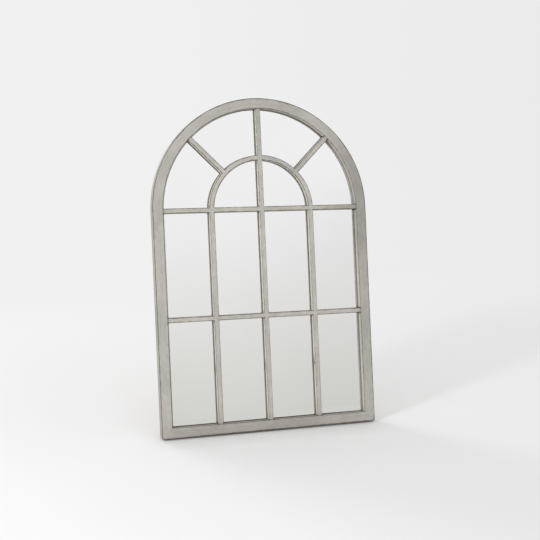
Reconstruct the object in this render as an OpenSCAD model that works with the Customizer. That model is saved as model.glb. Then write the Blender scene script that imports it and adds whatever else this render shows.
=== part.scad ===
// Arched wall mirror in the style of a paned window.
// The mirror stands upright: X to the right, Y to the wall, Z up.
// The origin is the middle of the bottom edge's face, halfway through the frame's depth.
// Pieces are drawn on the bench, lying on their backs: X right, Y up the mirror, Z to the viewer.
// stand() then lifts them upright. A bench height of zero is halfway through the frame.

/* [Frame] */
// Width over the stiles, which is also the diameter of the arch
frame_w = 600; // [500:10:700]
// Height from the bottom edge to the crown
frame_h = 900; // [800:10:1100]
// Width of the frame's face
frame_face = 28; // [27:1:34]
// Depth of the frame from face to back
frame_depth = 32; // [30:1:40]
// Round on the frame's outer front edge
outer_round = 3; // [1:0.5:4]
// Round on the frame's inner front edge
inner_round = 1.5; // [0.5:0.5:2.5]
// Round of the two bottom corners, seen from the front
corner_round = 5; // [4:1:8]
// Straight leg at the foot of each side piece of the arch
arch_leg = 30; // [25:5:60]

/* [Glazing bars] */
// Width of a glazing bar
bar_w = 13; // [12:1:18]
// Depth of a glazing bar from its face to the glass
bar_depth = 15; // [13:1:17]
// How far the bars' faces lie behind the frame's face
bar_setback = 4; // [3:0.5:6]
// Round on the front edges of the bars
bar_round = 1.5; // [0.5:0.5:2.5]
// Angle of the two spokes above the upper crossbar
spoke_angle = 45; // [40:1:50]

/* [Joinery] */
// Thickness of a bar's tenon, across the bar
tenon_t = 5; // [4:0.5:6]
// Depth of a bar's tenon, from front to back
tenon_d = 7; // [5:1:9]
// Length of the tenons in the frame
tenon_len = 7; // [5:1:9]
// Length of the stub tenons between two bars
stub_len = 4; // [3:0.5:4.5]
// Diameter of the dowels in the frame's joints
dowel_d = 6; // [5:0.5:7]
// Distance between the two dowels of a joint
dowel_gap = 11; // [10:0.5:12]
// Length of the dowels in the arch
dowel_len = 30; // [24:2:36]
// Length of the dowels across the mitres
mitre_dowel_len = 20; // [16:1:24]
// Clearance round a tenon or a dowel in its socket
joint_play = 0.1; // [0.05:0.05:0.2]

/* [Mirror and back] */
// Width of the rebate for the mirror, cut into the back of the frame
rebate_w = 9; // [8:0.5:10]
// Thickness of the mirror
glass_t = 3; // [3:0.5:4]
// Thickness of the backing board
board_t = 3; // [2:0.5:5]
// Gap round the mirror and its board in the rebate
edge_gap = 1.5; // [1:0.5:2]
// Length of a glazing point
point_l = 13; // [11:0.5:14]
// Width of a glazing point
point_w = 6; // [4:0.5:8]
// Thickness of a glazing point
point_t = 0.5; // [0.4:0.1:0.8]
// How far a glazing point is driven into the frame
point_grip = 5; // [4:0.5:6]
// Glazing points along each stile
stile_points = 4; // [3:1:5]
// Glazing points along the bottom rail
rail_points = 3; // [2:1:4]

/* [Hangers] */
// Height of the rings' pivots below the spring of the arch
hanger_drop = 60; // [55:5:200]
// Width of a hanger strap
strap_w = 12; // [10:0.5:12.5]
// Length of a hanger strap below its pivot
strap_l = 41; // [40:1:48]
// Thickness of the strap's steel, which is folded double
strap_t = 0.8; // [0.6:0.1:1]
// Width of the strap's loop round the ring
loop_w = 9; // [8:0.5:9.5]
// Diameter of the ring's wire
wire_d = 2.5; // [2.2:0.1:2.8]
// Width of the ring between the middles of its two arms
ring_w = 15.5; // [15.5:0.5:16.5]
// Reach of the ring from its pivot to the middle of its far end
ring_reach = 16; // [15:0.5:16.5]
// Running clearance of the ring in its loop
ring_play = 0.08; // [0.05:0.01:0.1]
// Distance from the pivot to the first strap screw
screw_first = 21; // [20.5:0.5:22]
// Distance between the two screws of a strap
screw_pitch = 13; // [11:0.5:14]
// Diameter of the strap screws
screw_d = 3.4; // [3:0.1:3.6]
// Length of the strap screws under their heads
screw_l = 13; // [10:1:15]
// Diameter of the screw heads
head_d = 6.2; // [5.8:0.1:6.6]
// Height of the screw heads
head_h = 1.9; // [1.6:0.1:2.2]

/* [Wall pads] */
// Diameter of the pads on the bottom corners
pad_d = 12; // [8:1:14]
// Thickness of the pads, which keep the mirror off the wall
pad_t = 4.5; // [4.5:0.5:6]

/* [Hidden] */
$fn = 96;
// Facets of a full turn of the large arcs, and of the small rounds on the edges
arc_facets = 360;
round_facets = 48;
// Heights on the bench: the frame's face and back, the bars' face and the mirror's face
face_v = frame_depth / 2;
back_v = -frame_depth / 2;
bar_v = face_v - bar_setback;
glass_v = bar_v - bar_depth;
board_v = glass_v - glass_t;
board_back_v = board_v - board_t;
// Opening of the frame and the height where its arch springs
arch_r = frame_w / 2;
spring_y = frame_h - arch_r;
open_r = arch_r - frame_face;
leg_y = spring_y - arch_leg;
// Each side piece of the arch turns this far, and the crown piece spans the rest
side_turn = 60;
crown_turn = 180 - 2 * side_turn;
// Bars: four panes of one width, and two rows of panes of one height
half_bar = bar_w / 2;
pane_w = (2 * open_r - 3 * bar_w) / 4;
pane_h = (spring_y - half_bar - frame_face - bar_w) / 2;
side_x = bar_w + pane_w;
lower_y = frame_face + pane_h + half_bar;
// The inner arch stands on the two side bars
inner_r = side_x;
// Middle of the bars' depth, where they are halved and where their tenons sit
lap_v = (bar_v + glass_v) / 2;
// Middle of the wood in front of the rebate, where the dowels sit
dowel_v = (face_v + glass_v) / 2;
// The mitre's dowels sit this share of the way from its outer corner
mitre_share = 0.63;
// Distances from the frame's outer edge to the rebate and to the mirror
rebate_edge = frame_face - rebate_w;
glass_edge = rebate_edge + edge_gap;
// Glazing points round the arch, spaced so that none meets a joint
arch_points = 6;
// Hangers: the strap is centred on the flat back of the stile
strap_x = arch_r - rebate_edge / 2;
pivot_y = spring_y - hanger_drop;
wire_r = wire_d / 2;
loop_bore_r = wire_r + ring_play;
loop_r = loop_bore_r + strap_t;
pivot_v = back_v - loop_r;
strap_stack = 2 * strap_t;
// Length over which the strap's loop runs into its flat part
loop_run = 5;
// The ring hangs down, almost touching the strap where its round end crosses the strap's edges
rest_gap = 0.1;
rest_reach = ring_reach - ring_w / 2 + sqrt(ring_w * ring_w - strap_w * strap_w) / 2;
ring_rest = asin((strap_stack + wire_r + rest_gap - loop_r) / rest_reach);
// Bend of the wire at the ring's two corners
ring_bend = 2.5;
// The screws: room round the shank in the strap and in the wood, the point, and the rim of the head
strap_hole_play = 0.25;
wood_hole_play = 0.05;
screw_tip = 3;
head_rim = 0.4 * head_h;
// How far a cutter goes past the piece that it cuts, and a length beyond the whole mirror
past = 1;
reach = frame_w + frame_h;

paint = [0.69, 0.68, 0.64];
silver = [0.86, 0.88, 0.87];
beech = [0.80, 0.66, 0.46];
hardboard = [0.42, 0.30, 0.20];
zinc = [0.72, 0.73, 0.74];
rubber = [0.16, 0.16, 0.16];

// Lifts a piece from the bench, so that it stands upright with its face to the front
module stand() {
    rotate([90, 0, 0]) children();
}

module mirrored() {
    mirror([1, 0, 0]) children();
}

module both_sides() {
    children();
    mirrored() children();
}

// A straight length of a section, from a point and at an angle in the plane of the bench.
// The section's first axis points to the left of the run, and its second to the viewer.
module run(start, angle, length) {
    translate([start[0], start[1], 0])
        rotate([90, 0, 90 + angle])
            linear_extrude(length) children();
}

// A section carried round the centre of the arch, its first axis pointing inwards from radius r
module sweep(r, from, turn) {
    translate([0, spring_y, 0])
        rotate([0, 0, from])
            rotate_extrude(angle = turn, $fn = arc_facets)
                translate([r, 0]) mirror([1, 0]) children();
}

// What a round of radius r takes off a corner that points along both axes
module edge_waste(r) {
    difference() {
        square([r + past, r + past]);
        circle(r, $fn = round_facets);
    }
}

// Section of the frame, from its outer edge inwards, with the rebate at its back
module frame_section() {
    difference() {
        translate([0, back_v]) square([frame_face, frame_depth]);
        translate([rebate_edge, back_v - past])
            square([rebate_w + past, glass_v - back_v + past]);
        translate([outer_round, face_v - outer_round]) mirror([1, 0]) edge_waste(outer_round);
        translate([frame_face - inner_round, face_v - inner_round]) edge_waste(inner_round);
    }
}

// Outline of the mirror and its board, set in from the frame's outer edge
module arched_sheet(inset) {
    translate([0, spring_y]) circle(arch_r - inset, $fn = arc_facets);
    translate([inset - arch_r, inset]) square([2 * (arch_r - inset), spring_y - inset]);
}

// Section through the front of a pane, which takes the round off the edge of the bar beside it.
// The straight sides have some height to spare above and below the curved ones.
module pane_section(width, spare) {
    round_v = bar_v - bar_round;
    difference() {
        union() {
            translate([-bar_round, round_v]) square([width + bar_round, bar_round + past + spare]);
            translate([0, round_v - spare]) square([width, past + spare]);
        }
        translate([-bar_round, round_v]) circle(bar_round, $fn = round_facets);
    }
}

// All that lies to the left of a line through a point
module left_of(point, angle) {
    start = [point[0] - reach * cos(angle), point[1] - reach * sin(angle)];
    run(start, angle, 2 * reach) pane_section(reach, past);
}

// All that lies inside a circle round the centre of the arch, but for its very middle, and all
// that lies outside an arc that covers more than the quarter on the right
module inside_circle(r) {
    sweep(r, 0, 360) pane_section(r - past, 0);
}

module outside_arc(r) {
    sweep(r, -45, 180) mirror([1, 0]) pane_section(arch_r - r, 0);
}

// The panes on the right shape the bars between them, so that all faces meet flush in a mitre.
// Column 0 is next to the centre bar and column 1 next to the stile. Row 0 is the lower one.
module straight_pane(column, row) {
    x = half_bar + column * (pane_w + bar_w);
    y = frame_face + row * (pane_h + bar_w);
    intersection() {
        left_of([x, y], 0);
        left_of([x + pane_w, y], 90);
        left_of([x, y + pane_h], 180);
        left_of([x, y], 270);
    }
}

module quarter_pane() {
    intersection() {
        left_of([half_bar, spring_y], 270);
        left_of([0, spring_y + half_bar], 0);
        inside_circle(inner_r - half_bar);
    }
}

module lower_fan_pane() {
    edge = [half_bar * sin(spoke_angle), spring_y - half_bar * cos(spoke_angle)];
    intersection() {
        left_of([0, spring_y + half_bar], 0);
        left_of(edge, spoke_angle + 180);
        outside_arc(inner_r + half_bar);
    }
}

module upper_fan_pane() {
    edge = [-half_bar * sin(spoke_angle), spring_y + half_bar * cos(spoke_angle)];
    intersection() {
        left_of([half_bar, spring_y], 270);
        left_of(edge, spoke_angle);
        outside_arc(inner_r + half_bar);
    }
}

// Square section of a bar, centred on its line
module bar_section() {
    translate([-half_bar, glass_v]) square([bar_w, bar_depth]);
}

module rounded_bar_section() {
    difference() {
        bar_section();
        for (side = [0, 1])
            mirror([side, 0])
                translate([half_bar - bar_round, bar_v - bar_round]) edge_waste(bar_round);
    }
}

module tenon_section(play) {
    translate([-tenon_t / 2 - play, lap_v - tenon_d / 2 - play])
        square([tenon_t + 2 * play, tenon_d + 2 * play]);
}

// Each of these is a bar's tenons with no play, and the sockets that take them with some
module crossbar_tenons(y, play) {
    half = open_r + tenon_len + play;
    run([-half, y], 0, 2 * half) tenon_section(play);
}

module center_bar_tenons(play) {
    low = frame_face - tenon_len - play;
    high = spring_y + open_r + tenon_len + play;
    run([0, low], 90, high - low) tenon_section(play);
}

module side_bar_tenons(play) {
    low = frame_face - tenon_len - play;
    high = spring_y - half_bar + stub_len + play;
    run([side_x, low], 90, high - low) tenon_section(play);
}

module inner_arch_tenons(play) {
    foot = spring_y + half_bar - stub_len - play;
    head = half_bar - stub_len - play;
    run([inner_r, foot], 90, bar_w) tenon_section(play);
    run([head, spring_y + inner_r], 0, bar_w) tenon_section(play);
}

module spoke_tenons(play) {
    inner = inner_r + half_bar - stub_len - play;
    outer = open_r + tenon_len + play;
    start = [inner * cos(spoke_angle), spring_y + inner * sin(spoke_angle)];
    run(start, spoke_angle, outer - inner) tenon_section(play);
}

// A crossing where two bars are halved into each other: the block that one of them loses
module crossing(x, y, in_front) {
    low = in_front ? lap_v : glass_v - past;
    high = in_front ? bar_v + past : lap_v;
    translate([x - half_bar, y - half_bar, low]) cube([bar_w, bar_w, high - low]);
}

// The wood of the arch, which the ends of the bars are coped to, with a glue line between
module arch_cope() {
    sweep(arch_r, 0, 180)
        translate([0, glass_v - past]) square([frame_face + joint_play, bar_depth + 2 * past]);
}

// The wood of the inner arch, rounded edge and all, which the feet of the spokes are scribed to
module inner_arch_cope() {
    wall = inner_r + half_bar + joint_play;
    edge = bar_round + joint_play;
    translate([0, spring_y, 0]) rotate_extrude($fn = arc_facets) difference() {
        translate([0, glass_v - past]) square([wall, bar_depth + 2 * past]);
        translate([wall - edge, bar_v + joint_play - edge]) edge_waste(edge);
    }
}

// Two dowels side by side, lying along X
module dowel_pair(length, play) {
    for (side = [-1, 1])
        translate([0, side * dowel_gap / 2, dowel_v])
            rotate([0, 90, 0])
                cylinder(h = length + 2 * play, d = dowel_d + 2 * play, center = true);
}

module mitre_dowels(play) {
    along = frame_face * mitre_share;
    translate([arch_r - along, along, 0]) rotate([0, 0, 45]) dowel_pair(mitre_dowel_len, play);
}

module leg_dowels(play) {
    translate([arch_r - frame_face / 2, leg_y, 0]) rotate([0, 0, 90]) dowel_pair(dowel_len, play);
}

module crown_dowels(play) {
    translate([0, spring_y, 0]) rotate([0, 0, side_turn])
        translate([arch_r - frame_face / 2, 0, 0]) rotate([0, 0, 90]) dowel_pair(dowel_len, play);
}

// The corner where a stile and the rail are mitred: one side of the cut
module beyond_mitre(rail_side) {
    translate([arch_r, 0, back_v - past]) rotate([0, 0, 135])
        translate([-frame_face, rail_side ? 0 : -2 * frame_face, 0])
            cube([3 * frame_face, 2 * frame_face, frame_depth + 2 * past]);
}

// What the rounded corner loses: its wall, and the round of its front edge carried round it
module corner_waste() {
    translate([arch_r - corner_round, corner_round, 0])
        rotate([0, 0, -90]) rotate_extrude(angle = 90) {
            translate([corner_round, back_v - past])
                square([corner_round, frame_depth + 2 * past]);
            translate([corner_round - outer_round, face_v - outer_round]) edge_waste(outer_round);
        }
}

// One glazing point at the rebate's wall, which it enters along X, lying on the board
module glazing_point(play) {
    translate([point_grip - point_l - play, -point_w / 2 - play, board_back_v - point_t - play])
        cube([point_l + 2 * play, point_w + 2 * play, point_t + 2 * play]);
}

module all_glazing_points(play) {
    wall = arch_r - rebate_edge;
    for (i = [0 : stile_points - 1]) {
        y = rebate_edge + (i + 0.5) * (spring_y - rebate_edge) / stile_points;
        both_sides() translate([wall, y, 0]) glazing_point(play);
    }
    for (i = [0 : rail_points - 1]) {
        x = -wall + (i + 0.5) * 2 * wall / rail_points;
        translate([x, rebate_edge, 0]) rotate([0, 0, -90]) glazing_point(play);
    }
    for (i = [0 : arch_points - 1])
        translate([0, spring_y, 0]) rotate([0, 0, (i + 0.5) * 180 / arch_points])
            translate([wall, 0, 0]) glazing_point(play);
}

// Places its children at the two screws of the right strap
module at_strap_screws() {
    for (i = [0, 1])
        translate([strap_x, pivot_y - screw_first - i * screw_pitch, 0]) children();
}

module stile() {
    color(paint) difference() {
        run([arch_r, 0], 90, leg_y) frame_section();
        beyond_mitre(true);
        corner_waste();
        mitre_dowels(joint_play);
        leg_dowels(joint_play);
        crossbar_tenons(lower_y, joint_play);
        all_glazing_points(joint_play);
        at_strap_screws() translate([0, 0, back_v - past])
            cylinder(h = screw_l + past, d = screw_d + 2 * wood_hole_play);
    }
}

module bottom_rail() {
    color(paint) difference() {
        run([-arch_r, 0], 0, frame_w) frame_section();
        both_sides() {
            beyond_mitre(false);
            corner_waste();
            mitre_dowels(joint_play);
            side_bar_tenons(joint_play);
        }
        center_bar_tenons(joint_play);
        all_glazing_points(joint_play);
    }
}

module arch_side() {
    color(paint) difference() {
        union() {
            run([arch_r, leg_y], 90, arch_leg) frame_section();
            sweep(arch_r, 0, side_turn) frame_section();
        }
        leg_dowels(joint_play);
        crown_dowels(joint_play);
        crossbar_tenons(spring_y, joint_play);
        spoke_tenons(joint_play);
        all_glazing_points(joint_play);
    }
}

module arch_crown() {
    color(paint) difference() {
        sweep(arch_r, side_turn, crown_turn) frame_section();
        both_sides() crown_dowels(joint_play);
        center_bar_tenons(joint_play);
        all_glazing_points(joint_play);
    }
}

module frame_dowels() {
    color(beech) both_sides() {
        mitre_dowels(0);
        leg_dowels(0);
        crown_dowels(0);
    }
}

module glazing_bar_center() {
    color(paint) difference() {
        union() {
            difference() {
                run([0, frame_face], 90, spring_y + open_r - frame_face) bar_section();
                arch_cope();
            }
            center_bar_tenons(0);
        }
        both_sides() {
            straight_pane(0, 0);
            straight_pane(0, 1);
            quarter_pane();
            upper_fan_pane();
            inner_arch_tenons(joint_play);
        }
        crossing(0, lower_y, true);
        crossing(0, spring_y, true);
    }
}

module glazing_bar_side() {
    color(paint) difference() {
        union() {
            run([side_x, frame_face], 90, spring_y - half_bar - frame_face) bar_section();
            side_bar_tenons(0);
        }
        for (row = [0, 1])
            for (column = [0, 1])
                straight_pane(column, row);
        crossing(side_x, lower_y, true);
    }
}

module crossbar_lower() {
    color(paint) difference() {
        union() {
            run([-open_r, lower_y], 0, 2 * open_r) bar_section();
            crossbar_tenons(lower_y, 0);
        }
        both_sides()
            for (row = [0, 1])
                for (column = [0, 1])
                    straight_pane(column, row);
        for (x = [-side_x, 0, side_x])
            crossing(x, lower_y, false);
    }
}

module crossbar_upper() {
    color(paint) difference() {
        union() {
            difference() {
                run([-open_r, spring_y], 0, 2 * open_r) bar_section();
                arch_cope();
            }
            crossbar_tenons(spring_y, 0);
        }
        both_sides() {
            straight_pane(0, 1);
            straight_pane(1, 1);
            quarter_pane();
            lower_fan_pane();
            side_bar_tenons(joint_play);
            inner_arch_tenons(joint_play);
        }
        crossing(0, spring_y, false);
    }
}

module inner_arch() {
    color(paint) difference() {
        union() {
            difference() {
                sweep(inner_r, 0, 90) rounded_bar_section();
                translate([0, spring_y, glass_v - past])
                    cube([inner_r + bar_w, half_bar, bar_depth + 2 * past]);
                translate([0, spring_y, glass_v - past])
                    cube([half_bar, inner_r + bar_w, bar_depth + 2 * past]);
            }
            inner_arch_tenons(0);
        }
        spoke_tenons(joint_play);
    }
}

module spoke() {
    color(paint) difference() {
        union() {
            difference() {
                run([0, spring_y], spoke_angle, open_r) bar_section();
                inner_arch_cope();
                arch_cope();
            }
            spoke_tenons(0);
        }
        lower_fan_pane();
        upper_fan_pane();
    }
}

module mirror_glass() {
    color(silver) translate([0, 0, board_v]) linear_extrude(glass_t) arched_sheet(glass_edge);
}

module backing_board() {
    color(hardboard) translate([0, 0, board_back_v]) linear_extrude(board_t) arched_sheet(glass_edge);
}

module glazing_points() {
    color(zinc) all_glazing_points(0);
}

// Side view of the strap: a loop round the wire that closes into two layers on the wood
module strap_section() {
    knee = [-loop_run, back_v - strap_stack];
    offset_x = knee[0];
    offset_v = knee[1] - pivot_v;
    turn = atan2(offset_v, offset_x) + acos(loop_r / norm([offset_x, offset_v]));
    tangent = [loop_r * cos(turn), pivot_v + loop_r * sin(turn)];
    difference() {
        union() {
            translate([0, pivot_v]) circle(loop_r);
            polygon([[-loop_run, back_v], knee, tangent, [0, pivot_v], [0, back_v]]);
            translate([-strap_l, back_v - strap_stack]) square([strap_l - loop_run, strap_stack]);
        }
        translate([0, pivot_v]) circle(loop_bore_r);
    }
}

// Front view of the strap, from its pivot down to its rounded end
module strap_outline() {
    translate([-loop_w / 2, -loop_run - past]) square([loop_w, loop_run + past + loop_r]);
    translate([-strap_w / 2, strap_w / 2 - strap_l]) square([strap_w, strap_l - strap_w / 2 - loop_run]);
    translate([0, strap_w / 2 - strap_l]) circle(d = strap_w);
}

module hanger_strap() {
    color(zinc) difference() {
        intersection() {
            translate([strap_x - strap_w / 2, pivot_y, 0]) run([0, 0], 0, strap_w) strap_section();
            translate([strap_x, pivot_y, pivot_v - loop_r])
                linear_extrude(2 * loop_r) strap_outline();
        }
        at_strap_screws() translate([0, 0, pivot_v - loop_r])
            cylinder(h = 2 * loop_r + past, d = screw_d + 2 * strap_hole_play);
    }
}

// The ring hanging straight down from its pivot, a flat loop of wire in the shape of a D
module wire_ring() {
    half_w = ring_w / 2;
    arc_y = half_w - ring_reach;
    rotate([0, 90, 0]) cylinder(h = ring_w - 2 * ring_bend, r = wire_r, center = true);
    both_sides() {
        translate([half_w - ring_bend, -ring_bend, 0])
            rotate_extrude(angle = 90) translate([ring_bend, 0]) circle(wire_r);
        translate([half_w, -ring_bend, 0]) rotate([90, 0, 0])
            cylinder(h = -arc_y - ring_bend, r = wire_r);
    }
    translate([0, arc_y, 0]) rotate([0, 0, 180])
        rotate_extrude(angle = 180) translate([half_w, 0]) circle(wire_r);
}

module hanger_ring() {
    color(zinc) translate([strap_x, pivot_y, pivot_v]) rotate([ring_rest, 0, 0]) wire_ring();
}

// A pan-head screw whose head sits on the strap
module strap_screw() {
    head_r = head_d / 2;
    dome = head_h - head_rim;
    dome_r = (head_r * head_r + dome * dome) / (2 * dome);
    translate([0, 0, back_v - strap_stack]) rotate_extrude() {
        polygon([[0, 0], [screw_d / 2, 0], [screw_d / 2, screw_l - screw_tip], [0, screw_l]]);
        intersection() {
            translate([0, -head_h]) square([head_r, head_h]);
            translate([0, dome_r - head_h]) circle(dome_r);
        }
    }
}

module hanger_screws() {
    color(zinc) both_sides() at_strap_screws() strap_screw();
}

module wall_pads() {
    color(rubber) both_sides()
        translate([strap_x, rebate_edge / 2, back_v - pad_t]) cylinder(h = pad_t, d = pad_d);
}

stand() mirrored() stile();  // stile_left
stand() stile();  // stile_right
stand() bottom_rail();
stand() mirrored() arch_side();  // arch_left
stand() arch_crown();
stand() arch_side();  // arch_right
stand() frame_dowels();
stand() mirrored() glazing_bar_side();  // glazing_bar_left
stand() glazing_bar_center();
stand() glazing_bar_side();  // glazing_bar_right
stand() crossbar_upper();
stand() crossbar_lower();
stand() mirrored() inner_arch();  // inner_arch_left
stand() inner_arch();  // inner_arch_right
stand() mirrored() spoke();  // spoke_left
stand() spoke();  // spoke_right
stand() mirror_glass();
stand() backing_board();
stand() glazing_points();
stand() mirrored() hanger_strap();  // hanger_strap_left
stand() hanger_strap();  // hanger_strap_right
stand() mirrored() hanger_ring();  // hanger_ring_left
stand() hanger_ring();  // hanger_ring_right
stand() hanger_screws();
stand() wall_pads();
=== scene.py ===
import math
import bpy
import numpy as np
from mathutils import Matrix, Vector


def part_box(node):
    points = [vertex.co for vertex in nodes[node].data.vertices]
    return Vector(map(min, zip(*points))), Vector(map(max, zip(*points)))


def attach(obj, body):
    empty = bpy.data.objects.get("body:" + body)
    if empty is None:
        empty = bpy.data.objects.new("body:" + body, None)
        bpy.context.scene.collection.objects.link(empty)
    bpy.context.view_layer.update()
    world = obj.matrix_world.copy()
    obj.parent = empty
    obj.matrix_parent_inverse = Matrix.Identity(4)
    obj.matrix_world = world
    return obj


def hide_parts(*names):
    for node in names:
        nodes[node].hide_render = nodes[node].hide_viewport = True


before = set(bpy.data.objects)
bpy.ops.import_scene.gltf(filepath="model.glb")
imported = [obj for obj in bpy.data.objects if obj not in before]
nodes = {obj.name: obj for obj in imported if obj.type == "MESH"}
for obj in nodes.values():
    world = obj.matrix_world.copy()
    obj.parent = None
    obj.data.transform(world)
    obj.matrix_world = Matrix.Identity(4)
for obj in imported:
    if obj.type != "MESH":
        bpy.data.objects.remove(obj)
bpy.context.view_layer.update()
mm = 0.001


# The mirror's main lines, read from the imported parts, in millimetres

def boxInMm(node):
    low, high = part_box(node)
    return low / mm, high / mm


stileLow, stileHigh = boxInMm("stile_right")
upperLow, upperHigh = boxInMm("crossbar_upper")
lowerLow, lowerHigh = boxInMm("crossbar_lower")
sideLow, sideHigh = boxInMm("glazing_bar_right")
lines = {
    "half": stileHigh.x,                         # middle to the outer edge
    "rail": boxInMm("bottom_rail")[1].z,         # width of the frame's face
    "face": stileLow.y,                          # front of the frame
    "back": stileHigh.y,
    "spring": (upperLow.z + upperHigh.z) / 2,    # where the arch begins
    "lower": (lowerLow.z + lowerHigh.z) / 2,     # middle of the lower crossbar
    "side": (sideLow.x + sideHigh.x) / 2,        # middle of the side bars and the inner arch
    "bar": (upperHigh.z - upperLow.z) / 2,       # half a bar's width
    "barFace": upperLow.y,
    "glass": boxInMm("mirror_glass")[0].y,
    "corner": 5.0,                               # rounding of the bottom corners
}
print("frame loaded,", len(nodes), "parts")


# Small tools for node trees: a Wire can be added, scaled and compared as a number can

def linear(colour):    # from 0-255 screen values to linear light, by the usual screen curve
    share = np.array(colour) / 255
    light = np.where(share > 0.04045, ((share + 0.055) / 1.055) ** 2.4, share / 12.92)
    return (*[float(x) for x in light], 1.0)


def join(value, socket):
    if isinstance(value, Wire):
        value.tree.links.new(value.socket, socket)
    elif hasattr(socket.default_value, "__len__"):
        socket.default_value = value[:len(socket.default_value)]
    else:
        socket.default_value = value


class Wire:
    def __init__(self, socket):
        self.socket = socket
        self.tree = socket.id_data

    def maths(self, operation, *others):
        node = self.tree.nodes.new("ShaderNodeMath")
        node.operation = operation
        for value, socket in zip((self, *others), node.inputs):
            join(value, socket)
        return Wire(node.outputs[0])

    def __add__(self, other):
        return self.maths("ADD", other)

    def __sub__(self, other):
        return self.maths("SUBTRACT", other)

    def __mul__(self, other):
        return self.maths("MULTIPLY", other)

    def __truediv__(self, other):
        return self.maths("DIVIDE", other)

    def __rsub__(self, other):
        return self.maths("MULTIPLY_ADD", -1.0, other)

    def __abs__(self):
        return self.maths("ABSOLUTE")

    __radd__ = __add__
    __rmul__ = __mul__


def most(first, *others):
    for other in others:
        first = first.maths("MAXIMUM", other)
    return first


def least(first, *others):
    for other in others:
        first = first.maths("MINIMUM", other)
    return first


def length(a, b):
    return (a * a + b * b).maths("SQRT")


def moreThan(value, limit):    # 1 above the limit, 0 below
    return value.maths("GREATER_THAN", limit)


def fade(value, none, full):    # smooth step: 0 at none, 1 at full
    node = value.tree.nodes.new("ShaderNodeMapRange")
    node.interpolation_type = "SMOOTHSTEP"
    for given, socket in zip((value, none, full), node.inputs):
        join(given, socket)
    return Wire(node.outputs[0])


def split(vector):
    node = vector.tree.nodes.new("ShaderNodeSeparateXYZ")
    join(vector, node.inputs[0])
    return [Wire(output) for output in node.outputs]


def vectorOf(tree, x, y, z):
    node = tree.nodes.new("ShaderNodeCombineXYZ")
    for value, socket in zip((x, y, z), node.inputs):
        join(value, socket)
    return Wire(node.outputs[0])


def noise(vector, size, detail=2.0, rough=0.5):    # soft noise, blobs about size across
    node = vector.tree.nodes.new("ShaderNodeTexNoise")
    given = {"Vector": vector, "Scale": 1 / size, "Detail": detail, "Roughness": rough}
    for name, value in given.items():
        join(value, node.inputs[name])
    return Wire(node.outputs[0])


def streaks(grain, size, detail=2.0):    # noise drawn out along the grain; size: length, width
    long, fine = size
    along, across, deep = split(grain)
    return noise(vectorOf(grain.tree, along / long, across / fine, deep / fine), 1.0, detail)


def swing(value, amount):    # noise made to swing about zero, by this much from end to end
    return (value - 0.5) * amount


def dots(vector, size):    # distance to the nearest of many scattered points, as a share of size
    node = vector.tree.nodes.new("ShaderNodeTexVoronoi")
    join(vector, node.inputs["Vector"])
    join(1 / size, node.inputs["Scale"])
    return Wire(node.outputs["Distance"])


def blend(amount, a, b):    # the Mix node's sockets 0, 6 and 7 are the ones for colours
    node = amount.tree.nodes.new("ShaderNodeMix")
    node.data_type = "RGBA"
    for value, socket in zip((amount, a, b), (node.inputs[0], node.inputs[6], node.inputs[7])):
        join(value, socket)
    return Wire(node.outputs[2])


def gain(colour, factor):    # a colour made brighter or darker, or a vector scaled
    node = colour.tree.nodes.new("ShaderNodeVectorMath")
    node.operation = "SCALE"
    join(colour, node.inputs[0])
    join(factor, node.inputs[3])
    return Wire(node.outputs[0])


def newGroup(name, inputs, outputs):
    tree = bpy.data.node_groups.new(name, "ShaderNodeTree")
    for label, kind in inputs.items():
        tree.interface.new_socket(name=label, in_out="INPUT", socket_type="NodeSocket" + kind)
    for label, kind in outputs.items():
        tree.interface.new_socket(name=label, in_out="OUTPUT", socket_type="NodeSocket" + kind)
    sockets = tree.nodes.new("NodeGroupInput").outputs[:len(inputs)]
    return tree, [Wire(socket) for socket in sockets], tree.nodes.new("NodeGroupOutput")


def useGroup(tree, group, **inputs):
    node = tree.nodes.new("ShaderNodeGroup")
    node.node_tree = group
    for name, value in inputs.items():
        join(value, node.inputs[name])
    return [Wire(output) for output in node.outputs]


def newMaterial(name, **plain):    # plain values go straight on the shader's own sockets
    material = bpy.data.materials.new(name)
    material.use_nodes = True
    tree = material.node_tree
    shader = tree.nodes["Principled BSDF"]
    for label, value in plain.items():
        join(value, shader.inputs[label.replace("_", " ")])
    return material, tree, shader


def pointOn(tree):    # the place on the object, in millimetres
    coordinates = tree.nodes.new("ShaderNodeTexCoord")
    return gain(Wire(coordinates.outputs["Object"]), 1 / mm)


def facingOf(tree):    # the way the surface faces: to the right, to the back and up
    coordinates = tree.nodes.new("ShaderNodeTexCoord")
    return split(Wire(coordinates.outputs["Normal"]))


def finishWith(tree, shader, colour, roughness, height, depth):    # depth of the bump in metres
    join(colour, shader.inputs["Base Color"])
    if roughness is not None:
        join(roughness, shader.inputs["Roughness"])
    if height is not None:
        bump = tree.nodes.new("ShaderNodeBump")
        join(depth, bump.inputs["Distance"])
        join(height, bump.inputs["Height"])
        tree.links.new(bump.outputs[0], shader.inputs["Normal"])


def dress(material, *names):
    for name in names:
        for slot in nodes[name].material_slots:
            slot.material = material


# Where a point lies: how far inside the bars' outline, and how far in from the outer edge

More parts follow.
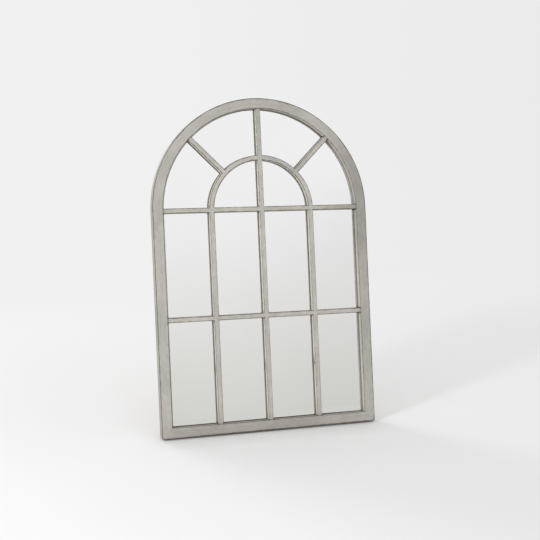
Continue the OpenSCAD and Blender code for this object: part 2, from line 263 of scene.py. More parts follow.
def planGroup():
    tree, (point,), out = newGroup(
        "mirrorPlan", {"Point": "Vector"}, {"Inside": "Float", "Rim": "Float"})
    x, _, z = split(point)
    side, rise = abs(x), z - lines["spring"]
    radius = length(x, rise)
    bar, diagonal = lines["bar"], math.sqrt(0.5)
    centreBar = bar - side
    sideBar = least(bar - abs(side - lines["side"]), 0 - rise)
    upperBar = bar - abs(rise)
    lowerBar = bar - abs(z - lines["lower"])
    innerArch = least(bar - abs(radius - lines["side"]), rise)
    spoke = least(bar - abs((side - rise) * diagonal), radius - lines["side"])
    join(most(centreBar, sideBar, upperBar, lowerBar, innerArch, spoke), out.inputs["Inside"])
    overX = side - (lines["half"] - lines["corner"])
    overZ = lines["corner"] - z
    rounded = length(most(overX, 0.0), most(overZ, 0.0)) + least(most(overX, overZ), 0.0)
    below = lines["corner"] - rounded
    above = lines["half"] - radius
    join(below + (above - below) * moreThan(rise, 0.0), out.inputs["Rim"])
    return tree


# Aged paint: clouds of warm and cool grey, brush streaks along the piece, dark glaze on the edges
# that is partly painted shade, and painted shade beside the glass

agedPaint = {
    "warm": (181, 177, 170), "cool": (171, 169, 161),
    "glazeAndShade": (82, 77, 64), "chip": (110, 98, 80),
    "cloud": 70.0, "cloudEdges": (0.36, 0.64),                # where warm turns to cool
    "streak": (55.0, 1.1), "band": (110.0, 5.5),              # brush marks, length and width
    "blotch": 7.0, "blotchStretch": 0.6,
    "streakTone": 0.3, "bandTone": 0.2, "blotchTone": 0.4,
    "arris": (1.9, 0.6),                                      # dark line along an arris: glaze, and painted shade of the rounded edge
    "foot": (0.2, 0.8), "footShadeAndGlaze": 0.82,                    # painted shade in the recess beside the glass, with the dark joints
    "streakRagged": 1.6, "blotchRagged": 2.4,                 # how far an arris line wanders
    "footRagged": 0.06,
    "hair": (42.0, 0.6), "hairEdges": (0.63, 0.75), "hairGlaze": 0.4,
    "low": (190.0, 0.0),                                      # more flecks and chips down here
    "fleck": 3.2, "fleckPatch": 11.0, "fleckSpread": 0.9,
    "fleckLow": 0.06, "fleckEdge": 0.06, "fleckGlaze": 0.6,
    "chipSize": 4.5, "chipRough": 0.7, "chipEdges": (0.735, 0.76), "chipStrength": 0.8,
    "chipReach": 5.0, "chipArris": 0.06, "chipLow": 0.035,    # more chips near an arris
    "roughness": 0.5, "blotchRough": 0.25, "glazeAndShadeRough": 0.15,
    "streakBump": 0.7, "blotchBump": 0.6, "chipBump": 0.9, "bump": 0.00012,
}


def paintGroup(look):
    inputs = {"Grain": "Vector", "Place": "Vector", "Arris": "Float",
              "Foot": "Float", "Line": "Float", "Tone": "Float"}
    outputs = {"Colour": "Color", "Roughness": "Float", "Height": "Float"}
    tree, (grain, place, arris, foot, line, tone), out = newGroup("agedPaint", inputs, outputs)
    along, across, deep = split(grain)
    streak = streaks(grain, look["streak"], detail=3.0)
    band = streaks(grain, look["band"])
    hair = streaks(grain, look["hair"])
    stretched = vectorOf(tree, along * look["blotchStretch"], across, deep)
    blotch = noise(stretched, look["blotch"], detail=4.0, rough=0.6)
    cloud = fade(noise(place, look["cloud"], detail=3.0), *look["cloudEdges"])
    colour = blend(cloud, linear(look["warm"]), linear(look["cool"]))
    varied = 1.0 + swing(streak, look["streakTone"]) + swing(band, look["bandTone"])
    varied = varied + swing(blotch, look["blotchTone"])
    colour = gain(colour, varied * tone)

    ragged = swing(blotch, look["blotchRagged"]) + swing(streak, look["streakRagged"])
    # The dark lines along the arrises are glaze and partly painted shade; the dark line beside the
    # glass is painted shade
    edgeGlazeAndShade = fade(arris + ragged, *look["arris"]) * line
    footShadeAndGlaze = fade(foot + ragged * look["footRagged"], *look["foot"]) * look["footShadeAndGlaze"]
    hairGlaze = fade(hair, *look["hairEdges"]) * look["hairGlaze"]
    low = fade(split(place)[2], *look["low"])
    patches = swing(noise(place, look["fleckPatch"]), look["fleckSpread"])
    fleck = dots(place, look["fleck"]) + patches - low * look["fleckLow"]
    fleckGlaze = fade(fleck, 0.0, -look["fleckEdge"]) * look["fleckGlaze"]
    glazeAndShade = most(edgeGlazeAndShade, footShadeAndGlaze, hairGlaze, fleckGlaze)
    colour = blend(glazeAndShade, colour, linear(look["glazeAndShade"]))

    chips = noise(place, look["chipSize"], detail=3.0, rough=look["chipRough"])
    chips = chips + fade(arris, look["chipReach"], 0.0) * look["chipArris"] + low * look["chipLow"]
    chipped = fade(chips, *look["chipEdges"]) * look["chipStrength"]
    colour = blend(chipped, colour, linear(look["chip"]))
    join(colour, out.inputs["Colour"])
    roughness = look["roughness"] + swing(blotch, look["blotchRough"]) + glazeAndShade * look["glazeAndShadeRough"]
    join(roughness, out.inputs["Roughness"])
    height = swing(streak, look["streakBump"]) + swing(blotch, look["blotchBump"])
    join(height - chipped * look["chipBump"], out.inputs["Height"])
    return tree


# Bare wood shows behind, where the paint laps a few millimetres round the edge

bareWood = {
    "pale": (203, 174, 134), "dark": (166, 130, 88), "line": (128, 94, 60),
    "rings": 0.42, "slant": 0.6, "wave": (90.0, 14.0), "waver": 9.0,    # yearly rings
    "ringTone": 0.55, "waveTone": 0.4, "ringBump": 0.3,
    "pore": (9.0, 0.45), "poreEdges": (0.6, 0.78), "poreTone": 0.55,
    "lap": (4.0, 4.8), "lapSize": 5.0, "lapRagged": 5.0,      # the paint's edge, from the rim
    "facesBack": 0.5, "rebate": 12.0, "behindGlass": 0.02,    # the rebate is bare too
}


def woodGroup(look):
    tree, (grain,), out = newGroup(
        "bareWood", {"Grain": "Vector"}, {"Colour": "Color", "Height": "Float"})
    _, across, deep = split(grain)
    wave = streaks(grain, look["wave"])
    turns = (across + deep * look["slant"]) * look["rings"] + wave * look["waver"]
    rings = turns.maths("SINE") * 0.5 + 0.5    # from 0 to 1 and back
    pores = fade(streaks(grain, look["pore"]), *look["poreEdges"])
    tone = rings * look["ringTone"] + wave * look["waveTone"]
    colour = blend(tone, linear(look["pale"]), linear(look["dark"]))
    join(blend(pores * look["poreTone"], colour, linear(look["line"])), out.inputs["Colour"])
    join(rings * look["ringBump"] - pores, out.inputs["Height"])
    return tree


plan = planGroup()
paint = paintGroup(agedPaint)
wood = woodGroup(bareWood)


# Grain runs along each piece: a vector of the way along it, across it and through it

def straightGrain(degrees):    # for a straight piece turned this far from upright
    turn = math.radians(degrees)

    def grain(point):
        x, y, z = split(point)
        rise = z - lines["spring"]
        along = x * math.sin(turn) + rise * math.cos(turn)
        across = x * math.cos(turn) - rise * math.sin(turn)
        return vectorOf(point.tree, along, across, y)

    return grain


def archGrain(point):    # round the arch and down its legs
    x, y, z = split(point)
    rise = z - lines["spring"]
    up = most(rise, 0.0)
    radius = length(x, up)
    around = radius * up.maths("ARCTAN2", x) + least(rise, 0.0) * x.maths("SIGN")
    return vectorOf(point.tree, around, radius, y)


# How the paint differs over the mirror: dark lines, painted light on the reveals, painted shade on
# the outer sides, ledges and beside the glass, dirt in the joints

paintLook = {
    "specular": 0.4,
    # Painted shade: the dark lines are narrower where the edges face the light, on the left front
    # outer edge and the inner edges on the right
    "outerArris": 0.46, "leftArris": 1.0,                      # fineness of the frame's lines
    "innerArris": 1.1, "rightInner": 1.7,
    "crossArris": 0.72,                                        # and on crossbars and spokes
    "frameLine": 0.86, "barLine": 0.66, "crossLine": 0.84,     # strength of the dark lines, glaze and painted shade
    "leftSide": (-200.0, -280.0), "rightSide": (60.0, 200.0),
    "frameFoot": (2.4, 0.8), "barFoot": (3.0, 1.2),            # painted shade and glaze above the glass
    "rightFoot": 0.4,                                          # and less of it on the right, whose reveals face the light
    "reveal": (16.0, 24.0), "wall": 0.32, "underside": 0.6,    # painted light: reveals that face sideways or down are lighter
    "outerWall": -0.22, "ledge": -0.16,                        # painted shade: outer side faces and upward ledges are darker
    "bars": 1.07,
    "joint": (3.4, 0.8), "jointGlaze": 0.85,                   # corners of the panes
    "jointLine": (2.0, 0.5), "jointLineGlaze": 0.4,            # ends of the bars
    "gap": 7.0, "gapShade": 0.3,                               # foot of the bottom rail
}

# The right side counts in full on the arch and only in part below it
rightSide = {"arch": (560.0, 640.0), "below": 0.4}

# Soft darker areas of painted shade, where less light falls on the paint
shadeAreaEdge = (1.0, 0.35)
shadeAreas = [
    {"x": -50.0, "z": 12.0, "across": 330.0, "along": 48.0, "strength": 0.15},
    {"x": 290.0, "z": 640.0, "across": 130.0, "along": 290.0, "strength": 0.25},
    {"x": -30.0, "z": 905.0, "across": 190.0, "along": 90.0, "strength": 0.05},
    {"x": 290.0, "z": 270.0, "across": 60.0, "along": 150.0, "strength": 0.09},
    {"x": 0.0, "z": 800.0, "across": 30.0, "along": 90.0, "strength": 0.12},
    {"x": 75.0, "z": 725.0, "across": 75.0, "along": 60.0, "strength": 0.1},
]

# Small places on the three upright bars where the paint is rubbed through to old varnish
wornLook = {
    "patch": 1.6, "patchRough": 0.6, "stretch": 0.35, "ragged": 2.2, "edges": (1.15, 0.25),
}
wornSpots = [
    {"place": (-5.2, -12.0, 341.0), "size": (2.2, 3.0, 17.0),
     "colour": (150, 112, 96), "strength": 0.42},
    {"place": (-6.5, -4.4, 176.0), "size": (1.5, 3.0, 17.0),
     "colour": (62, 58, 44), "strength": 0.85},
    {"place": (-145.7, -4.6, 174.0), "size": (1.5, 3.2, 17.0),
     "colour": (66, 62, 46), "strength": 0.9},
    {"place": (132.8, -4.8, 176.0), "size": (1.5, 3.6, 13.0),
     "colour": (62, 58, 34), "strength": 0.95},
]


def onRightSide(x, z, none, full):
    below = rightSide["below"]
    return fade(x, none, full) * (below + fade(z, *rightSide["arch"]) * (1 - below))


# Marks are the distance to the nearest arris, the painted shade beside the glass, and the tone
# with its painted light and shade

def frameMarks(look, point, rim, facing):
    x, y, z = split(point)
    sideways = abs(facing[0])
    deep = y - lines["face"]
    outer = abs(most(rim, 0.0) - deep)
    inner = abs(most(lines["rail"] - rim, 0.0) - deep)
    behind = abs(most(rim, 0.0) - (lines["back"] - y))
    # Painted shade: narrower dark lines where the edges face the light, and less shade beside the
    # glass on the right
    onLeft = fade(x, *look["leftSide"]) * (1.0 - sideways)
    onRight = onRightSide(x, z, *look["rightSide"])
    outerFine = look["outerArris"] + onLeft * (look["leftArris"] - look["outerArris"])
    innerFine = look["innerArris"] + onRight * (look["rightInner"] - look["innerArris"])
    arris = least(outer * outerFine, inner * innerFine, behind)
    onReveal = fade(rim, *look["reveal"])
    foot = fade(lines["glass"] - y, *look["frameFoot"]) * onReveal
    foot = foot * (1.0 - onRight * look["rightFoot"])
    # Painted light on reveals that face sideways or down; painted shade on the outer side faces,
    # the upward ledges and the foot of the bottom rail
    lit = most(sideways, facing[2] * -look["underside"])
    tone = 1.0 + lit * onReveal * look["wall"] + sideways * (1.0 - onReveal) * look["outerWall"]
    tone = tone + most(facing[2], 0.0) * onReveal * look["ledge"]
    tone = tone * (1.0 - fade(z, look["gap"], 0.0) * look["gapShade"])
    return arris, foot, tone


def barMarks(look, point, inside, rim, facing, fineness):
    y = split(point)[1]
    arris = abs(most(inside, 0.0) - (y - lines["barFace"])) * fineness
    jointLine = fade(abs(rim - lines["rail"]), *look["jointLine"]) * look["jointLineGlaze"]
    foot = most(fade(lines["glass"] - y, *look["barFoot"]), jointLine)
    # Painted light: the sideways and downward faces of the bars are lighter
    lit = most(abs(facing[0]), facing[2] * -look["underside"])
    return arris, foot, look["bars"] + lit * look["wall"]


# Painted shade: the tone is darkened over each soft area
def withShadeAreas(tone, point):
    x, _, z = split(point)
    for area in shadeAreas:
        away = length((x - area["x"]) / area["across"], (z - area["z"]) / area["along"])
        tone = tone * (1.0 - fade(away, *shadeAreaEdge) * area["strength"])
    return tone


def wornThrough(look, colour, point, spots):
    x, y, z = split(point)
    stretched = vectorOf(point.tree, x, y, z * look["stretch"])
    patchy = noise(stretched, look["patch"], detail=4.0, rough=look["patchRough"])
    ragged = swing(patchy, look["ragged"])
    for spot in spots:
        measures = zip((x, y, z), spot["place"], spot["size"])
        offX, offY, offZ = [(axis - place) / size for axis, place, size in measures]
        away = length(length(offX, offZ), offY)
        worn = fade(away + ragged, *look["edges"]) * spot["strength"]
        colour = blend(worn, colour, linear(spot["colour"]))
    return colour


def bareBehind(look, point, rim, facing):    # 1 on the back past the lap, and in the rebate
    ragged = swing(noise(point, look["lapSize"], detail=3.0), look["lapRagged"])
    onBack = fade(rim + ragged, *look["lap"]) * moreThan(facing[1], look["facesBack"])
    pastGlass = moreThan(split(point)[1], lines["glass"] + look["behindGlass"])
    return most(onBack, moreThan(rim, look["rebate"]) * pastGlass)


def paintMaterial(look, name, grainOf, isFrame, line, fineness=1.0, spots=()):
    material, tree, shader = newMaterial(name, Specular_IOR_Level=look["specular"])
    point, facing = pointOn(tree), facingOf(tree)
    grain = grainOf(point)
    inside, rim = useGroup(tree, plan, Point=point)
    if isFrame:
        arris, foot, tone = frameMarks(look, point, rim, facing)
    else:
        arris, foot, tone = barMarks(look, point, inside, rim, facing, fineness)
    corner = length(inside, rim - lines["rail"])
    foot = most(foot, fade(corner, *look["joint"]) * look["jointGlaze"])
    colour, roughness, height = useGroup(
        tree, paint, Grain=grain, Place=point, Arris=arris, Foot=foot, Line=line,
        Tone=withShadeAreas(tone, point))
    if spots:
        colour = wornThrough(wornLook, colour, point, spots)
    if isFrame:
        woodColour, woodHeight = useGroup(tree, wood, Grain=grain)
        bare = bareBehind(bareWood, point, rim, facing)
        colour = blend(bare, colour, woodColour)
        height = height + (woodHeight - height) * bare
    finishWith(tree, shader, colour, roughness, height, agedPaint["bump"])
    return material


def paintFrame(name, grainOf, *names):
    dress(paintMaterial(paintLook, name, grainOf, True, paintLook["frameLine"]), *names)


def paintCross(name, grainOf, *names):
    line, fineness = paintLook["crossLine"], paintLook["crossArris"]
    dress(paintMaterial(paintLook, name, grainOf, False, line, fineness), *names)


def paintUprights(name, *names):
    line = paintLook["barLine"]
    material = paintMaterial(paintLook, name, straightGrain(0), False, line, spots=wornSpots)
    dress(material, *names)


paintFrame("stilePaint", straightGrain(0), "stile_left", "stile_right")
paintFrame("railPaint", straightGrain(90), "bottom_rail")
paintFrame("archPaint", archGrain, "arch_left", "arch_crown", "arch_right")
paintUprights("barPaint", "glazing_bar_left", "glazing_bar_center", "glazing_bar_right")
paintCross("crossbarPaint", straightGrain(90), "crossbar_upper", "crossbar_lower")
paintCross("innerArchPaint", archGrain, "inner_arch_left", "inner_arch_right")
paintCross("spokeLeftPaint", straightGrain(-45), "spoke_left")
paintCross("spokeRightPaint", straightGrain(45), "spoke_right")
print("paint done")


# The silvered glass, with a band of painted shade where it meets the bars and the frame, standing
# in for a darker reflection of their sides

silvering = {
    # The dark colour of the specks, and of the painted shade band along the wood
    "silver": (246, 245, 245), "glazeAndShade": (112, 109, 95),
    "roughness": 0.015, "speckHaze": 0.4, "shadeBandHaze": 0.12,
    "patch": 6.0, "ragged": 0.7, "edges": (-0.5, 0.4), "strength": 0.8,
    "reach": 3.6, "frameExtra": 1.7,                   # width by a bar, and more by the frame
    "rightSide": (180.0, 250.0), "rightLess": 2.6, "rightWeaker": 0.35,
    "corner": 3.2, "cornerEdges": (-1.5, 0.5),         # painted shade in the corners below the arch
    "cornerStrength": 0.95,
    "spacing": 48.0, "speck": (0.016, 0.008), "speckStrength": 0.7,
}


def mirrorMaterial(look):
    material, tree, shader = newMaterial("silveredGlass", Metallic=1.0)
    point = pointOn(tree)
    x, y, z = split(point)
    ragged = swing(noise(point, look["patch"], detail=3.0), look["ragged"])

    def nearWood(across, up, extra):    # how far the point, pushed this way, lies inside the wood
        inside, rim = useGroup(tree, plan, Point=vectorOf(tree, x + across, y, z + up))
        return most(inside, lines["rail"] + extra - rim) + ragged

    onRight = onRightSide(x, z, *look["rightSide"])
    extra = look["frameExtra"] - onRight * look["rightLess"]
    beside = most(*[nearWood(side * look["reach"], 0.0, extra) for side in (-1, 1)])
    under = most(*[nearWood(0.0, side * look["corner"], 0.0) for side in (-1, 1)])
    belowArch = z.maths("LESS_THAN", lines["spring"])
    # Painted shade: the glass is darker in a band beside the wood and in the pane corners below
    # the arch, weaker on the right
    shadedCorner = fade(beside, *look["cornerEdges"]) * fade(under, *look["cornerEdges"]) * belowArch
    paintedShadeBand = fade(beside, *look["edges"]) * (look["strength"] - onRight * look["rightWeaker"])
    paintedShadeBand = most(paintedShadeBand, shadedCorner * look["cornerStrength"])
    speck = fade(dots(point, look["spacing"]), *look["speck"]) * look["speckStrength"]
    colour = blend(most(paintedShadeBand, speck), linear(look["silver"]), linear(look["glazeAndShade"]))
    haze = look["roughness"] + speck * look["speckHaze"] + paintedShadeBand * look["shadeBandHaze"]
    finishWith(tree, shader, colour, haze, None, None)
    return material


dress(mirrorMaterial(silvering), "mirror_glass")


# Hardboard back: brown pressed fibre with the fine mesh that its back face keeps from the press

hardboard = {
    "brown": (137, 104, 72), "dark": (104, 76, 51), "roughness": 0.78,
    "mesh": 1.25, "meshTone": 0.1, "meshBump": 0.6,
    "fibre": 1.4, "fibreRough": 0.65, "fibreEdges": (0.35, 0.7),
    "cloud": 60.0, "cloudTone": 0.3, "tone": 0.86, "bump": 0.00025,
}


def hardboardMaterial(look):
    material, tree, shader = newMaterial("hardboard", Roughness=look["roughness"])
    point = pointOn(tree)
    x, _, z = split(point)
    turn = 2 * math.pi / look["mesh"]
    mesh = (x * turn).maths("SINE") * (z * turn).maths("SINE")
    fibre = noise(point, look["fibre"], detail=4.0, rough=look["fibreRough"])
    cloud = noise(point, look["cloud"], detail=3.0)
    colour = blend(fade(fibre, *look["fibreEdges"]), linear(look["brown"]), linear(look["dark"]))
    colour = gain(colour, look["tone"] + cloud * look["cloudTone"] + mesh * look["meshTone"])
    finishWith(tree, shader, colour, None, mesh * look["meshBump"] + fibre, look["bump"])
    return material


dress(hardboardMaterial(hardboard), "backing_board")


# Zinc plate on the hangers, their screws and the glazing points

zincPlate = {
    "light": (206, 208, 207), "dull": (168, 169, 166), "stain": (120, 112, 100),
    "cloud": 5.0, "cloudRough": 0.6, "cloudEdges": (0.35, 0.65),
    "stainSize": 2.4, "stainEdges": (0.64, 0.74), "stainStrength": 0.6, "scratch": (0.25, 3.0),
    "roughness": 0.3, "cloudHaze": 0.22, "scratchHaze": 0.12,
    "cloudBump": 0.5, "bump": 0.00004,
}


def zincMaterial(look):
    material, tree, shader = newMaterial("zincPlate", Metallic=1.0)
    point = pointOn(tree)
    cloud = noise(point, look["cloud"], detail=4.0, rough=look["cloudRough"])
    scratch = streaks(point, look["scratch"])
    stain = fade(noise(point, look["stainSize"], detail=3.0), *look["stainEdges"])
    colour = blend(fade(cloud, *look["cloudEdges"]), linear(look["light"]), linear(look["dull"]))
    colour = blend(stain * look["stainStrength"], colour, linear(look["stain"]))
    roughness = look["roughness"] + cloud * look["cloudHaze"] + scratch * look["scratchHaze"]
    finishWith(tree, shader, colour, roughness, scratch + cloud * look["cloudBump"], look["bump"])
    return material


zinc = zincMaterial(zincPlate)
dress(zinc, "hanger_ring_left", "hanger_ring_right", "hanger_strap_left", "hanger_strap_right")
dress(zinc, "glazing_points")


# Beech dowels

beech = {"roughness": 0.6, "bump": 0.0001}


def beechMaterial(look):
    material, tree, shader = newMaterial("beech", Roughness=look["roughness"])
    colour, height = useGroup(tree, wood, Grain=pointOn(tree))
    finishWith(tree, shader, colour, None, height, look["bump"])
    return material


dress(beechMaterial(beech), "frame_dowels")


# Rubber of the wall pads

padRubber = {
    "tone": (52, 52, 50), "dusty": (88, 86, 82), "roughness": 0.62,
    "dust": 1.8, "dustRough": 0.7, "dustEdges": (0.5, 0.8), "bump": 0.00008,
}


def rubberMaterial(look):
    material, tree, shader = newMaterial("padRubber", Roughness=look["roughness"])
    dust = noise(pointOn(tree), look["dust"], detail=4.0, rough=look["dustRough"])
    colour = blend(fade(dust, *look["dustEdges"]), linear(look["tone"]), linear(look["dusty"]))
    finishWith(tree, shader, colour, None, dust, look["bump"])
    return material


rubber = rubberMaterial(padRubber)
print("materials done")


# New pieces are profiles of (radius, height) turned round an axis that points out of the back

def turnedMesh(profile, centres, steps, shape=None):
    # point = centre + radius * (cos a, 0, -sin a) + height along Y
    # shape(radius, height, a), where it is given, moves the points first
    radius, height = profile.T
    angle = np.linspace(0, 2 * np.pi, steps, endpoint=False)
    r, a = np.meshgrid(radius, angle, indexing="ij")
    h = np.repeat(height[:, None], steps, axis=1)
    if shape is not None:
        r, h = shape(r, h, a)
    rings = np.stack([r * np.cos(a), h, -r * np.sin(a)], -1)[1:-1].reshape(-1, 3)
    ends = np.array([[0, height[0], 0], [0, height[-1], 0]])
    rows = len(profile) - 2
    i, j = np.meshgrid(np.arange(rows - 1), np.arange(steps), indexing="ij")
    nextI, nextJ = i + 1, (j + 1) % steps
    quads = np.stack([
        i * steps + j, i * steps + nextJ, nextI * steps + nextJ, nextI * steps + j], -1)
    k = np.arange(steps)
    nextK = (k + 1) % steps
    first, last, lastRow = rows * steps, rows * steps + 1, (rows - 1) * steps
    startCap = np.stack([np.full(steps, first), nextK, k], -1)
    endCap = np.stack([np.full(steps, last), lastRow + k, lastRow + nextK], -1)
    one = np.concatenate([rings, ends])
    points = np.concatenate([one + centre for centre in centres]) * mm
    faces = []
    for copy in range(len(centres)):
        for block in (quads.reshape(-1, 4), startCap, endCap):
            faces += (block + copy * len(one)).tolist()
    return points, faces


def newPiece(name, points, faces, material, body, slotName, *replaced):
    mesh = bpy.data.meshes.new(name)
    mesh.from_pydata(points.tolist(), [], faces)
    mesh.polygons.foreach_set("use_smooth", np.ones(len(mesh.polygons), bool))
    mesh.materials.append(material)
    piece = bpy.data.objects.new(name, mesh)
    bpy.context.scene.collection.objects.link(piece)
    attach(piece, body)
    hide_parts(*replaced)


# Rubber pad: a short button with a rounded rim and a slightly dished face

rubberPads = {
    "foot": 0.4, "rim": 1.4, "dish": 0.35,
    "rimRows": 9, "faceRows": 8, "steps": 64,
}


def makePads(look):
    # rim: a quarter circle; face: height - dish * (1 - s * s), s from 1 at the rim to 0 inside
    low, high = boxInMm("wall_pads")
    padRadius, padHeight = (high.z - low.z) / 2, high.y - low.y
    rim, foot = look["rim"], look["foot"]
    flat = padRadius - rim
    a = np.linspace(0, np.pi / 2, look["rimRows"])
    s = np.linspace(1, 0, look["faceRows"])[1:]
    profile = np.concatenate([
        [(0, 0), (padRadius - foot, 0), (padRadius, foot)],
        np.stack([flat + rim * np.cos(a), padHeight - rim + rim * np.sin(a)], -1),
        np.stack([flat * s, padHeight - look["dish"] * (1 - s * s)], -1)])
    outwards, middle = high.x - padRadius, (low.z + high.z) / 2
    centres = [np.array([side * outwards, low.y, middle]) for side in (-1, 1)]
    points, faces = turnedMesh(profile[::-1], centres, look["steps"])
    newPiece("wallPads", points, faces, rubber, "frame", "rubber", "wall_pads")


makePads(rubberPads)


# Strap screws: domed heads with a cross recess, and a thread down to the point

strapScrews = {
    "headRadius": 3.1, "headHeight": 1.9, "drop": 0.24, "dome": 0.8,
    "skirt": 0.35, "rimEdge": 0.12,
    "shank": 1.7, "root": 1.25, "pitch": 1.4, "ridge": 3.2, "tip": 3.0, "tipEnd": 0.15,
    "recess": 1.25, "wing": 1.75, "wingHalf": 0.42, "wingEdge": 0.12, "shallow": 1.25,
    "seatGap": 0.5,                                    # neither thread nor recess by the seat
    "firstRow": 0.08, "domeRows": 34, "edgeRows": 7, "pitchRows": 10, "steps": 72,
}


def makeScrews(look):
    # head: height * (1 - drop * (radius share squared)), then down along a quarter ellipse
    # shank: an even radius that narrows in the tip
    low, high = boxInMm("hanger_screws")
    headRadius, headHeight, dome = look["headRadius"], look["headHeight"], look["dome"]
    seat = high.y - headHeight
    total = seat - low.y
    r = np.append(0.0, np.linspace(look["firstRow"], headRadius * dome, look["domeRows"]))
    a = np.linspace(0, np.pi / 2, look["edgeRows"])[1:]
    domeEnd = headHeight * (1 - look["drop"] * dome ** 2)
    skirt = look["skirt"] + (1 - look["skirt"]) * np.cos(a)
    threadEnd, rowGap = total - look["tip"] * look["tipEnd"], look["pitch"] / look["pitchRows"]
    t = np.arange(0.0, threadEnd, rowGap)[1:]
    profile = np.concatenate([
        np.stack([r, headHeight * (1 - look["drop"] * (r / headRadius) ** 2)], -1),
        np.stack([headRadius * (dome + (1 - dome) * np.sin(a)), domeEnd * skirt], -1),
        [(headRadius, look["rimEdge"]), (headRadius - look["rimEdge"], 0.0), (look["shank"], 0.0)],
        np.stack([look["shank"] * np.minimum(1.0, (total - t) / look["tip"]), -t], -1),
        [(0.0, -total)]])

    def arm(across, along):    # 1 inside one slot of the recess, with a soft edge
        edge = np.clip((look["wingHalf"] - across) / look["wingEdge"] + 0.5, 0, 1)
        return edge * (along < look["wing"])

    def shape(radius, height, angle):
        # two crossed slots that get shallow outwards; the thread is a ridge that winds down
        u, v = np.abs(radius * np.cos(angle)), np.abs(radius * np.sin(angle))
        slots = np.maximum(arm(u, v), arm(v, u))
        depth = look["recess"] * slots * np.clip(look["shallow"] - radius / look["wing"], 0, 1)
        turns = (-height / look["pitch"] - angle / (2 * np.pi)) % 1
        ridge = np.clip(1 - np.abs(turns - 0.5) * look["ridge"], 0, 1)
        core = radius * (look["root"] + (look["shank"] - look["root"]) * ridge) / look["shank"]
        onHead, onShank = height > look["seatGap"], height < -look["seatGap"]
        return np.where(onShank, core, radius), height - np.where(onHead, depth, 0)

    outwards, heights = high.x - headRadius, (low.z + headRadius, high.z - headRadius)
    centres = [np.array([side * outwards, seat, z]) for side in (-1, 1) for z in heights]
    points, faces = turnedMesh(profile, centres, look["steps"], shape)
    newPiece("strapScrews", points, faces, zinc, "frame", "zinc", "hanger_screws")


makeScrews(strapScrews)
print("new pieces done")


# Stage: a pale floor that falls away in front, because the mirror leans back in the photograph

stage = {
    "floor": (241, 241, 241), "left": (241, 241, 241), "right": (234, 234, 234),
    "sides": (-480.0, 2900.0), "cloud": 400.0, "cloudTone": 0.2, "roughness": 0.9,
    "lean": 8.15, "reach": 9.0, "flat": 2.9,                   # degrees and metres
    "columns": 61, "frontRows": 60, "backRows": 40,
    "contact": 0.09, "contactDeep": 110.0,                     # soft shade along the foot
    "contactEnds": (60.0, -40.0),
    "fade": (0.7, 2.5), "near": 600.0,                         # where floor turns to backdrop
    "behind": (-20.0, 160.0), "behindLift": 0.15,              # a weaker shadow behind
    "footX": (-290.0, -400.0), "footFar": (-900.0, -500.0),    # and beside the left foot
    "footY": (-250.0, 50.0), "footLift": 0.55,
}

# What the mirror and the metal see in front of them, high and low, and of the floor
mirrored = {"high": (249, 249, 250), "low": (207, 208, 202), "floor": (215, 216, 211)}


def rayKinds(tree):    # 1 for rays from the camera, and 1 for rays that a mirror throws back
    path = tree.nodes.new("ShaderNodeLightPath")
    return Wire(path.outputs["Is Camera Ray"]), Wire(path.outputs["Is Glossy Ray"])


def floorMaterial(look):
    material, tree, shader = newMaterial(
        "paleFloor", Roughness=look["roughness"], Specular_IOR_Level=0.0)
    point = pointOn(tree)
    x, y, _ = split(point)
    near, far = [lines["half"] + extra for extra in look["contactEnds"]]
    shade = fade(abs(y - lines["face"]), look["contactDeep"], 0.0) * fade(abs(x), near, far)
    cloud = noise(point, look["cloud"]) * look["cloudTone"]
    ground = blend(cloud, linear(look["floor"]), linear(look["right"]))
    join(gain(ground, 1.0 - shade * look["contact"]), shader.inputs["Base Color"])

    fromCamera, offMirror = rayKinds(tree)
    backdrop = blend(fade(x, *look["sides"]), linear(look["left"]), linear(look["right"]))
    glow = tree.nodes.new("ShaderNodeEmission")
    join(blend(offMirror, backdrop, linear(mirrored["floor"])), glow.inputs["Color"])
    away = most(y, length(x, y) - look["near"]) * mm
    byFoot = fade(x, *look["footX"]) * fade(x, *look["footFar"]) * fade(y, *look["footY"])
    lifted = most(fade(y, *look["behind"]) * look["behindLift"], byFoot * look["footLift"])
    share = most(fade(away, *look["fade"]), lifted) * fromCamera
    mix = tree.nodes.new("ShaderNodeMixShader")
    join(most(share, offMirror), mix.inputs[0])
    tree.links.new(shader.outputs[0], mix.inputs[1])
    tree.links.new(glow.outputs[0], mix.inputs[2])
    tree.links.new(mix.outputs[0], tree.nodes["Material Output"].inputs[0])
    return material


def makeFloor(look):
    # height = slope * (y - heel), level again well behind the mirror
    reach, heel = look["reach"], lines["back"] * mm
    x = np.linspace(-reach, reach, look["columns"])
    front = np.linspace(-reach, heel, look["frontRows"])
    y = np.append(front, np.linspace(heel, reach, look["backRows"])[1:])
    gx, gy = np.meshgrid(x, y, indexing="ij")
    gz = math.tan(math.radians(look["lean"])) * np.minimum(gy - heel, look["flat"])
    i, j = np.meshgrid(np.arange(len(x) - 1), np.arange(len(y) - 1), indexing="ij")
    here, right = i * len(y) + j, (i + 1) * len(y) + j
    faces = np.stack([here, right, right + 1, here + 1], -1).reshape(-1, 4)
    mesh = bpy.data.meshes.new("floor")
    mesh.from_pydata(np.stack([gx, gy, gz], -1).reshape(-1, 3).tolist(), [], faces.tolist())
    mesh.materials.append(floorMaterial(look))
    floor = bpy.data.objects.new("floor", mesh)
    bpy.context.scene.collection.objects.link(floor)


makeFloor(stage)


# Light: an even pale world, a low lamp on the left in front, and a weak high one behind

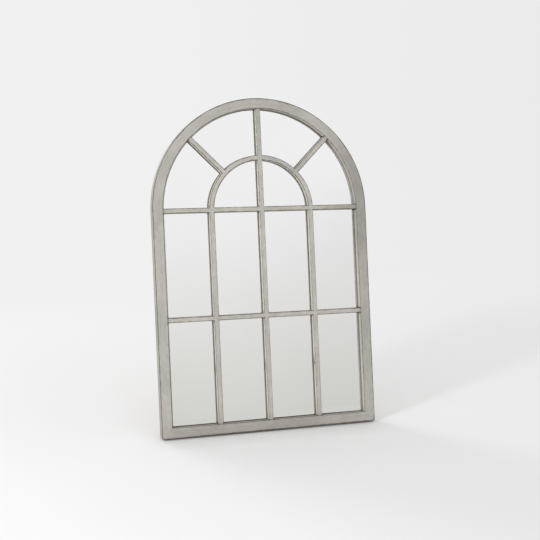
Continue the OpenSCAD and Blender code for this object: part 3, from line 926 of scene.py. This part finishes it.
lamps = [
    {"name": "key", "place": (-3.15, -2.35, 1.25), "size": 0.5, "watts": 58.0},
    {"name": "back", "place": (-2.2, 4.2, 3.6), "size": 2.2, "watts": 64.0},
]
target = np.array([0.0, 0.0, 0.45])
studio = {
    "level": 0.8, "sides": (0.05, 0.6), "heights": (-0.25, 0.12), "front": (0.1, -0.1),
    "dimmer": 0.068, "dimmerSide": (0.22, 0.38), "dimmerHeight": (0.14, 0.04),
    "clouds": 0.08, "cloudSize": 0.22, "cloudSlant": 1.6,    # long soft bands on a slant
}


def makeLamp(lamp):
    data = bpy.data.lights.new(lamp["name"], "AREA")
    data.size = lamp["size"]
    data.energy = lamp["watts"]
    piece = bpy.data.objects.new(lamp["name"], data)
    bpy.context.scene.collection.objects.link(piece)
    piece.location = lamp["place"]
    dx, dy, dz = target - np.array(lamp["place"])
    piece.rotation_euler = (math.atan2(math.hypot(dx, dy), -dz), 0, math.atan2(-dx, dy))
    piece.visible_camera = False


def makeWorld(look):
    world = bpy.data.worlds.new("paleStudio")
    world.use_nodes = True
    bpy.context.scene.world = world
    tree = world.node_tree
    direction = tree.nodes.new("ShaderNodeTexCoord")
    x, y, z = split(Wire(direction.outputs["Generated"]))
    wall = blend(fade(x, *look["sides"]), linear(stage["left"]), linear(stage["right"]))
    front = blend(fade(z, *look["heights"]), linear(mirrored["low"]), linear(mirrored["high"]))
    dim = fade(x, *look["dimmerSide"]) * fade(z, *look["dimmerHeight"]) * look["dimmer"]
    front = gain(front, 1.0 - dim)
    slant = look["cloudSlant"]
    cloud = noise(vectorOf(tree, x * slant + z, z * slant - x, y), look["cloudSize"], detail=3.0)
    front = gain(front, 1.0 + swing(cloud, look["clouds"]))
    fromCamera, offMirror = rayKinds(tree)
    plain = (look["level"], look["level"], look["level"], 1.0)
    lit = blend(offMirror, plain, blend(fade(y, *look["front"]), wall, front))
    join(blend(fromCamera, lit, wall), tree.nodes["Background"].inputs["Color"])


for lamp in lamps:
    makeLamp(lamp)
makeWorld(studio)


# Camera at the photograph's place, found from the frame's outline and the bars

view = {
    "place": (-0.7390, -2.5680, 0.4257),    # metres
    "turn": (90.1572, 2.5294, -16.4238),    # degrees
    "lens": 65.423, "sensor": 36.0,
}
camera = bpy.data.objects.new("camera", bpy.data.cameras.new("camera"))
camera.data.lens = view["lens"]
camera.data.sensor_width = view["sensor"]
camera.location = view["place"]
camera.rotation_euler = [math.radians(angle) for angle in view["turn"]]
bpy.context.scene.collection.objects.link(camera)
bpy.context.scene.camera = camera
bpy.context.scene.view_settings.view_transform = "Standard"
print("stage done")
